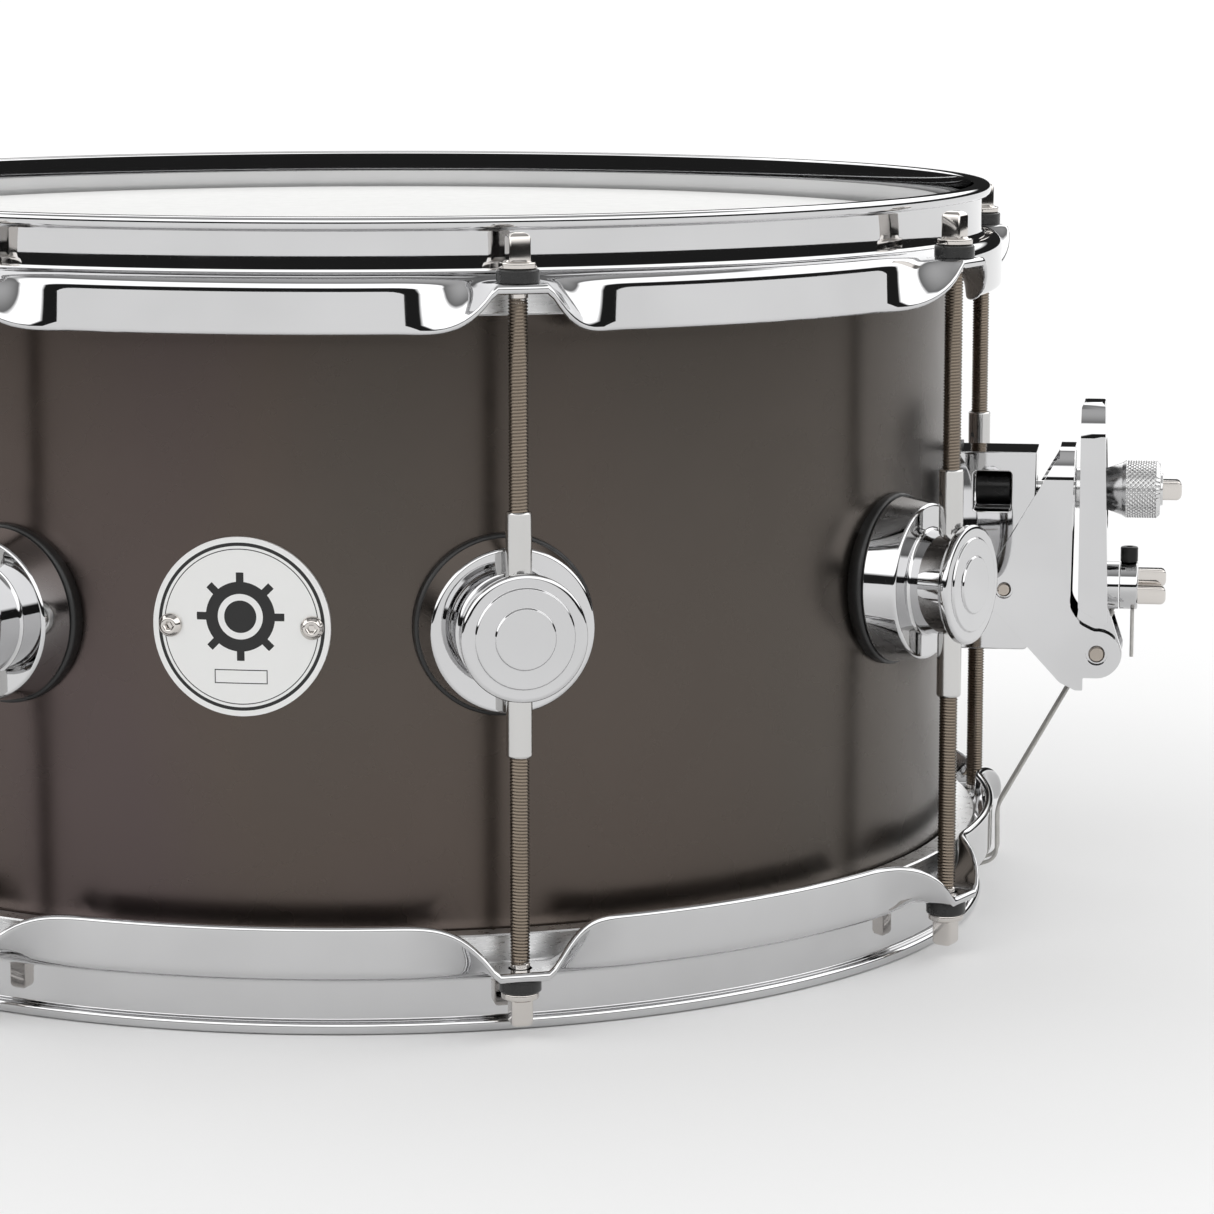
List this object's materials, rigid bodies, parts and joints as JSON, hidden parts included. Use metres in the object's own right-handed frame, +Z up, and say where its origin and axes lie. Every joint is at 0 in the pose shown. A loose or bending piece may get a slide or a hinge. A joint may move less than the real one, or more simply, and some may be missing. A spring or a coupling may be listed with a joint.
{
  "type": "snare drum",
  "caption": "Snare drum with a satin black metal shell, tube lugs, triple flanged chrome hoops, lever throw-off and wire snares.",
  "frame": {"origin": "on the drum's axis, in the plane of the snare-side rim that it stands on", "axes": "+Z up the drum's axis to the batter head, +X to the throw-off, -Y to the badge"},
  "size_m": [0.4135, 0.3568, 0.1997],
  "materials": {
    "satin_black_nickel": "satin",
    "coated_film": "matt",
    "clear_film": "hazy",
    "flesh_aluminium": "satin",
    "chrome": "mirror",
    "knurled_chrome": "knurled",
    "lug_tube_steel": "polished",
    "rod_steel": "threaded",
    "nickel": "polished",
    "black_nylon": "matt",
    "black_rubber": "matt",
    "black_steel": "black oxide",
    "zinc_steel": "zinc plated",
    "badge_aluminium": "brushed, black print",
    "snare_steel": "bright",
    "cord_fibre": "braided"
  },
  "bodies": {
    "drum": {"shell": "satin_black_nickel", "batter_head": "coated_film", "snare_head": "clear_film", "batter_flesh_hoop": "flesh_aluminium", "snare_flesh_hoop": "flesh_aluminium", "batter_hoop": "chrome", "snare_hoop": "chrome", "lug_bases": "chrome", "lug_caps": "chrome", "strainer_base": "chrome", "butt_block": "chrome", "butt_clamp": "chrome", "lug_tubes": "lug_tube_steel", "badge_screws": "nickel", "frame_pin": "nickel", "batter_washers": "black_nylon", "snare_washers": "black_nylon", "lug_gaskets": "black_rubber", "strainer_gasket": "black_rubber", "butt_gasket": "black_rubber", "vent_grommet": "black_rubber", "adjuster_nut": "black_steel", "lug_screws": "zinc_steel", "lug_washers": "zinc_steel", "fitting_screws": "zinc_steel", "fitting_washers": "zinc_steel", "badge_nuts": "zinc_steel", "badge": "badge_aluminium", "snare_wires": "snare_steel", "snare_plates": "snare_steel", "throw_cord": "cord_fibre", "butt_cord": "cord_fibre"},
    "throw_off_frame": {"strainer_frame": "chrome", "lever_pins": "nickel"},
    "throw_off_lever": {"lever": "chrome", "clamp_cap": "chrome", "clamp_set_screw": "black_steel", "cord_tails": "cord_fibre"},
    "adjuster": {"adjuster_knob": "knurled_chrome"},
    "clamp_screw_1": {"clamp_screw_1": "nickel"},
    "clamp_screw_2": {"clamp_screw_2": "nickel"},
    "butt_screw_1": {"butt_screw_1": "nickel"},
    "butt_screw_2": {"butt_screw_2": "nickel"},
    "batter_rod_1": {"batter_rod_1": "rod_steel"},
    "batter_rod_2": {"batter_rod_2": "rod_steel"},
    "batter_rod_3": {"batter_rod_3": "rod_steel"},
    "batter_rod_4": {"batter_rod_4": "rod_steel"},
    "batter_rod_5": {"batter_rod_5": "rod_steel"},
    "batter_rod_6": {"batter_rod_6": "rod_steel"},
    "batter_rod_7": {"batter_rod_7": "rod_steel"},
    "batter_rod_8": {"batter_rod_8": "rod_steel"},
    "snare_rod_1": {"snare_rod_1": "rod_steel"},
    "snare_rod_2": {"snare_rod_2": "rod_steel"},
    "snare_rod_3": {"snare_rod_3": "rod_steel"},
    "snare_rod_4": {"snare_rod_4": "rod_steel"},
    "snare_rod_5": {"snare_rod_5": "rod_steel"},
    "snare_rod_6": {"snare_rod_6": "rod_steel"},
    "snare_rod_7": {"snare_rod_7": "rod_steel"},
    "snare_rod_8": {"snare_rod_8": "rod_steel"}
  },
  "joints": [
    {"name": "adjuster_turn", "type": "hinge", "parent": "throw_off_frame", "child": "adjuster", "pos_m": [0.2035, 0, 0.11655], "axis": [1, 0, 0], "range_deg": [-360, 1080]},
    {"name": "frame_tilt", "type": "hinge", "parent": "drum", "child": "throw_off_frame", "pos_m": [0.1782, 0, 0.08975], "axis": [0, 1, 0], "range_deg": [-1.8, 5.2]},
    {"name": "lever_swing", "type": "hinge", "parent": "throw_off_frame", "child": "throw_off_lever", "pos_m": [0.2037, 0, 0.07235], "axis": [0, 1, 0], "range_deg": [0, 120], "deforming": ["throw_cord"]},
    {"name": "clamp_screw_1_turn", "type": "hinge", "parent": "throw_off_lever", "child": "clamp_screw_1", "pos_m": [0.2185, -0.0032, 0.08775], "axis": [1, 0, 0], "range_deg": [0, 765]},
    {"name": "clamp_screw_2_turn", "type": "hinge", "parent": "throw_off_lever", "child": "clamp_screw_2", "pos_m": [0.2185, 0.0032, 0.09175], "axis": [1, 0, 0], "range_deg": [0, 765]},
    {"name": "butt_screw_1_turn", "type": "hinge", "parent": "drum", "child": "butt_screw_1", "pos_m": [-0.1835, 0.008, 0.09185], "axis": [-1, 0, 0], "range_deg": [0, 765]},
    {"name": "butt_screw_2_turn", "type": "hinge", "parent": "drum", "child": "butt_screw_2", "pos_m": [-0.1835, -0.008, 0.09185], "axis": [-1, 0, 0], "range_deg": [0, 765]},
    {"name": "rod_batter_1_turn", "type": "hinge", "parent": "drum", "child": "batter_rod_1", "pos_m": [0.16667, 0.06904, 0.15985], "axis": [0, 0, 1], "range_deg": [-405, 765]},
    {"name": "rod_batter_2_turn", "type": "hinge", "parent": "drum", "child": "batter_rod_2", "pos_m": [0.06904, 0.16667, 0.15985], "axis": [0, 0, 1], "range_deg": [-405, 765]},
    {"name": "rod_batter_3_turn", "type": "hinge", "parent": "drum", "child": "batter_rod_3", "pos_m": [-0.06904, 0.16667, 0.15985], "axis": [0, 0, 1], "range_deg": [-405, 765]},
    {"name": "rod_batter_4_turn", "type": "hinge", "parent": "drum", "child": "batter_rod_4", "pos_m": [-0.16667, 0.06904, 0.15985], "axis": [0, 0, 1], "range_deg": [-405, 765]},
    {"name": "rod_batter_5_turn", "type": "hinge", "parent": "drum", "child": "batter_rod_5", "pos_m": [-0.16667, -0.06904, 0.15985], "axis": [0, 0, 1], "range_deg": [-405, 765]},
    {"name": "rod_batter_6_turn", "type": "hinge", "parent": "drum", "child": "batter_rod_6", "pos_m": [-0.06904, -0.16667, 0.15985], "axis": [0, 0, 1], "range_deg": [-405, 765]},
    {"name": "rod_batter_7_turn", "type": "hinge", "parent": "drum", "child": "batter_rod_7", "pos_m": [0.06904, -0.16667, 0.15985], "axis": [0, 0, 1], "range_deg": [-405, 765]},
    {"name": "rod_batter_8_turn", "type": "hinge", "parent": "drum", "child": "batter_rod_8", "pos_m": [0.16667, -0.06904, 0.15985], "axis": [0, 0, 1], "range_deg": [-405, 765]},
    {"name": "rod_snare_1_turn", "type": "hinge", "parent": "drum", "child": "snare_rod_1", "pos_m": [0.16667, 0.06904, 0.03985], "axis": [0, 0, -1], "range_deg": [-405, 765]},
    {"name": "rod_snare_2_turn", "type": "hinge", "parent": "drum", "child": "snare_rod_2", "pos_m": [0.06904, 0.16667, 0.03985], "axis": [0, 0, -1], "range_deg": [-405, 765]},
    {"name": "rod_snare_3_turn", "type": "hinge", "parent": "drum", "child": "snare_rod_3", "pos_m": [-0.06904, 0.16667, 0.03985], "axis": [0, 0, -1], "range_deg": [-405, 765]},
    {"name": "rod_snare_4_turn", "type": "hinge", "parent": "drum", "child": "snare_rod_4", "pos_m": [-0.16667, 0.06904, 0.03985], "axis": [0, 0, -1], "range_deg": [-405, 765]},
    {"name": "rod_snare_5_turn", "type": "hinge", "parent": "drum", "child": "snare_rod_5", "pos_m": [-0.16667, -0.06904, 0.03985], "axis": [0, 0, -1], "range_deg": [-405, 765]},
    {"name": "rod_snare_6_turn", "type": "hinge", "parent": "drum", "child": "snare_rod_6", "pos_m": [-0.06904, -0.16667, 0.03985], "axis": [0, 0, -1], "range_deg": [-405, 765]},
    {"name": "rod_snare_7_turn", "type": "hinge", "parent": "drum", "child": "snare_rod_7", "pos_m": [0.06904, -0.16667, 0.03985], "axis": [0, 0, -1], "range_deg": [-405, 765]},
    {"name": "rod_snare_8_turn", "type": "hinge", "parent": "drum", "child": "snare_rod_8", "pos_m": [0.16667, -0.06904, 0.03985], "axis": [0, 0, -1], "range_deg": [-405, 765]}
  ],
  "couplings": [
    {"joint": "frame_tilt", "follows": "adjuster_turn", "ratio": 0.004751}
  ]
}
